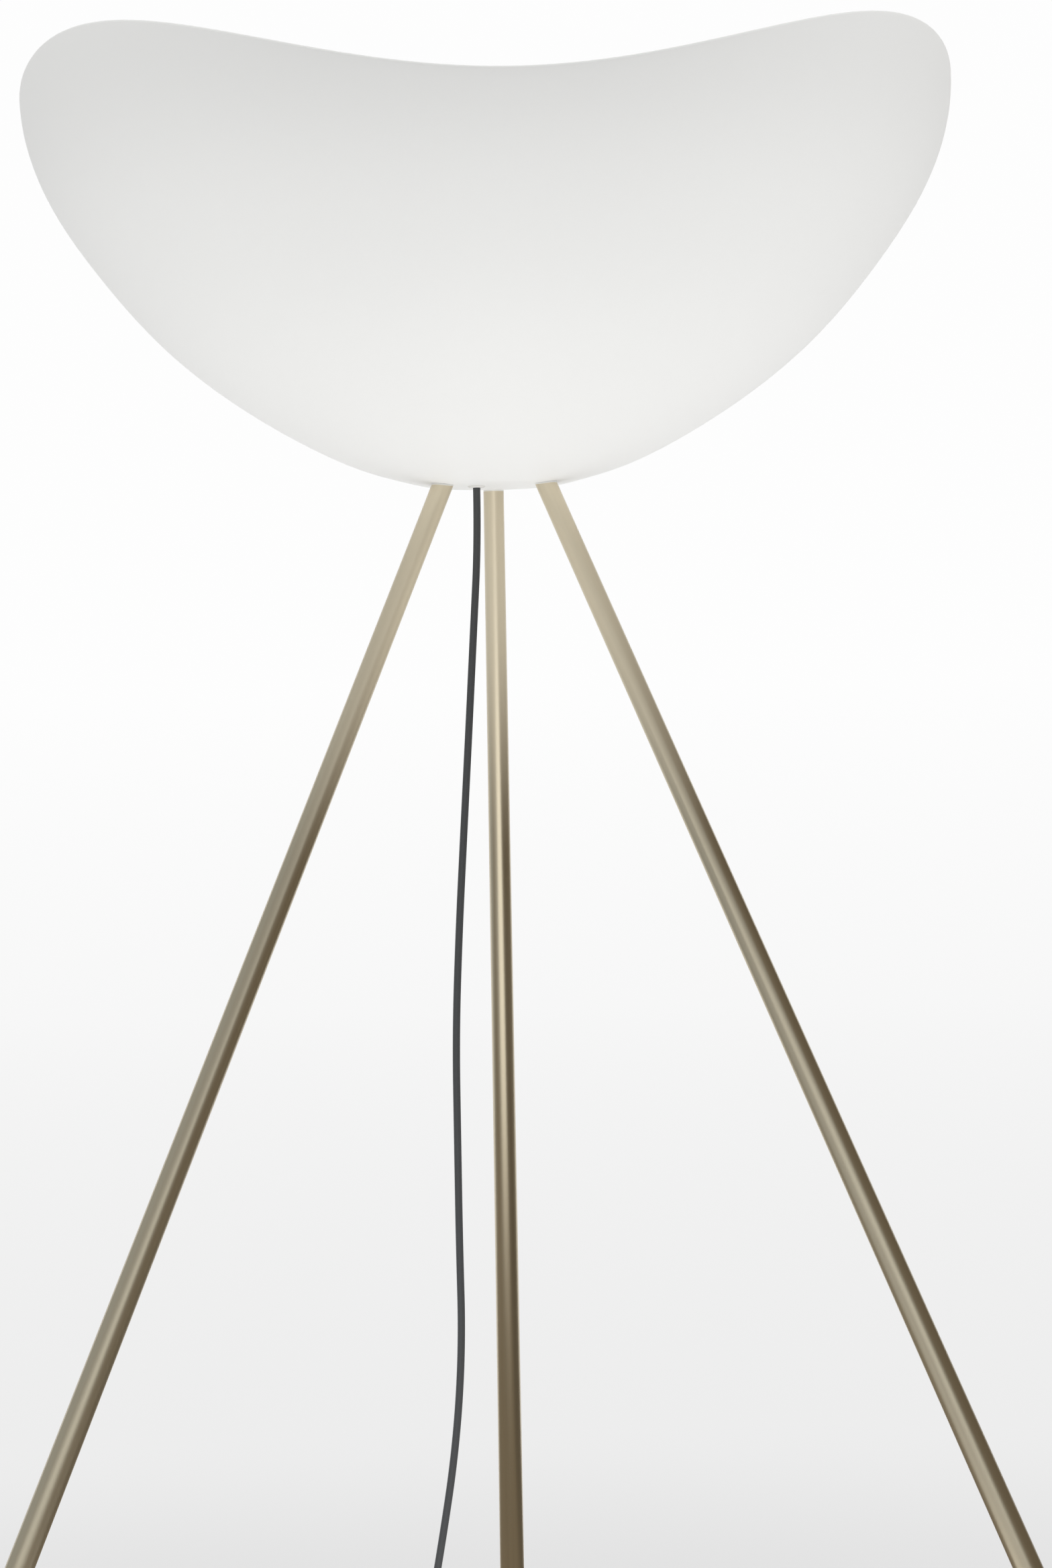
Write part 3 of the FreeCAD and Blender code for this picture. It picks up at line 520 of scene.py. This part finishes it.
def floor_and_surround():
    """Pale floor, and a far round wall that only the camera sees, for a view from any side."""
    material = paper()
    turned("floor", [(0, 0), (FLOOR_R, 0)], material)
    surround = turned("surround", [(FLOOR_R, 0), (SURROUND_R, 0), (SURROUND_R, SURROUND_TOP)], material)
    surround.visible_diffuse = False
    surround.visible_glossy = False
    surround.visible_shadow = False


def backdrop():
    """Curved white board behind the lamp that only reflections see."""
    profile = []
    for n in range(BACKDROP_STEPS + 1):
        a = math.pi / 2 * n / BACKDROP_STEPS
        profile.append((BACKDROP_Y + BACKDROP_CURVE * math.sin(a), BACKDROP_CURVE * (1 - math.cos(a))))
    profile.append((BACKDROP_Y + BACKDROP_CURVE, BACKDROP_TOP))
    corners = [(x, y, z) for x in (-BACKDROP_HALF_WIDTH, BACKDROP_HALF_WIDTH) for y, z in profile]
    count = len(profile)
    faces = [(n, count + n, count + n + 1, n + 1) for n in range(count - 1)]
    data = bpy.data.meshes.new("backdrop")
    data.from_pydata(corners, [], faces)
    board = bpy.data.objects.new("backdrop", data)
    bpy.context.scene.collection.objects.link(board)
    data.materials.append(glowing("backdrop", PAPER_GREY, WHITE, BACKDROP_GLOW))
    only_reflected(board)


def only_reflected(sheet):
    sheet.visible_camera = False
    sheet.visible_diffuse = False
    sheet.visible_shadow = False


def glowing(name, grey, tone, brightness):
    """Matt material that gives off its own light."""
    material = bpy.data.materials.new(name)
    material.use_nodes = True
    shader = material.node_tree.nodes["Principled BSDF"]
    shader.inputs["Base Color"].default_value = (grey, grey, grey, 1)
    shader.inputs["Roughness"].default_value = 1
    shader.inputs["Emission Color"].default_value = tone
    shader.inputs["Emission Strength"].default_value = brightness
    return material


def paper():
    """Matt white paper that is lit near the lamp, and further off glows more with distance."""
    material = glowing("paper", PAPER_GREY, WHITE, 0)
    nodes, links = material.node_tree.nodes, material.node_tree.links
    shader = nodes["Principled BSDF"]
    shader.inputs["Specular IOR Level"].default_value = 0
    place = nodes.new("ShaderNodeNewGeometry")
    split = nodes.new("ShaderNodeSeparateXYZ")
    links.new(place.outputs["Position"], split.inputs["Vector"])
    flat = nodes.new("ShaderNodeCombineXYZ")
    links.new(split.outputs["X"], flat.inputs["X"])
    links.new(split.outputs["Y"], flat.inputs["Y"])
    distance = nodes.new("ShaderNodeVectorMath")
    distance.operation = "LENGTH"
    links.new(flat.outputs["Vector"], distance.inputs[0])
    far = span(nodes, links, distance.outputs["Value"], FAR_FLOOR, (0, 1), "SMOOTHSTEP")
    share = span(nodes, links, distance.outputs["Value"], (0, SURROUND_R), (0, 1), "LINEAR")
    root = arithmetic(nodes, links, "POWER", share, 0.5)
    level = arithmetic(nodes, links, "MULTIPLY_ADD", root, GLOW_GAIN, GLOW_AT_LAMP)
    glow = arithmetic(nodes, links, "MULTIPLY", level, far)
    rise = span(nodes, links, split.outputs["Z"], (0, RISE_TOP), (0, RISE_GLOW), "LINEAR")
    total = arithmetic(nodes, links, "ADD", glow, rise)
    links.new(total, shader.inputs["Emission Strength"])
    fade = nodes.new("ShaderNodeMix")
    fade.data_type = "RGBA"
    fade.inputs["A"].default_value = (PAPER_GREY, PAPER_GREY, PAPER_GREY, 1)
    fade.inputs["B"].default_value = (0, 0, 0, 1)
    links.new(far, fade.inputs["Factor"])
    links.new(fade.outputs["Result"], shader.inputs["Base Color"])
    return material


def soft_light(name, place, aim, size, power):
    """A large lamp that reflections and the camera do not see."""
    data = bpy.data.lights.new(name, "AREA")
    data.shape = "RECTANGLE"
    data.size, data.size_y = size
    data.energy = power
    light = bpy.data.objects.new(name, data)
    light.location = place
    light.rotation_euler = (Vector(aim) - Vector(place)).to_track_quat("-Z", "Y").to_euler()
    light.visible_glossy = False
    light.visible_camera = False
    bpy.context.scene.collection.objects.link(light)


def room():
    """Even, dim surroundings."""
    world = bpy.data.worlds.new("room")
    world.use_nodes = True
    bpy.context.scene.world = world
    world.node_tree.nodes["Background"].inputs["Strength"].default_value = ROOM_LIGHT
    world.node_tree.nodes["Background"].inputs["Color"].default_value = (1, 1, 1, 1)


def card(name, low, high, tone, brightness):
    """A glowing card, flat across one axis, that only reflections see."""
    u, v = [axis for axis in range(3) if low[axis] != high[axis]]
    corners = []
    for at_u, at_v in ((low, low), (high, low), (high, high), (low, high)):
        corner = list(low)
        corner[u], corner[v] = at_u[u], at_v[v]
        corners.append(corner)
    data = bpy.data.meshes.new(name)
    data.from_pydata(corners, [], [(0, 1, 2, 3)])
    sheet = bpy.data.objects.new(name, data)
    bpy.context.scene.collection.objects.link(sheet)
    data.materials.append(glowing(name, CARD_GREY, tone, brightness))
    only_reflected(sheet)


def studio():
    """Everything round the lamp that lights it or is reflected in it."""
    bpy.context.scene.view_settings.view_transform = "Standard"
    floor_and_surround()
    backdrop()
    room()
    for name, (low, high, tone, brightness) in CARDS.items():
        card(name, low, high, tone, brightness)
    for name, (place, aim, size, power) in LIGHTS.items():
        soft_light(name, place, aim, size, power)


camera()
pieces = [spring()] + cords() + [bowl()]
dress(pieces)
studio()
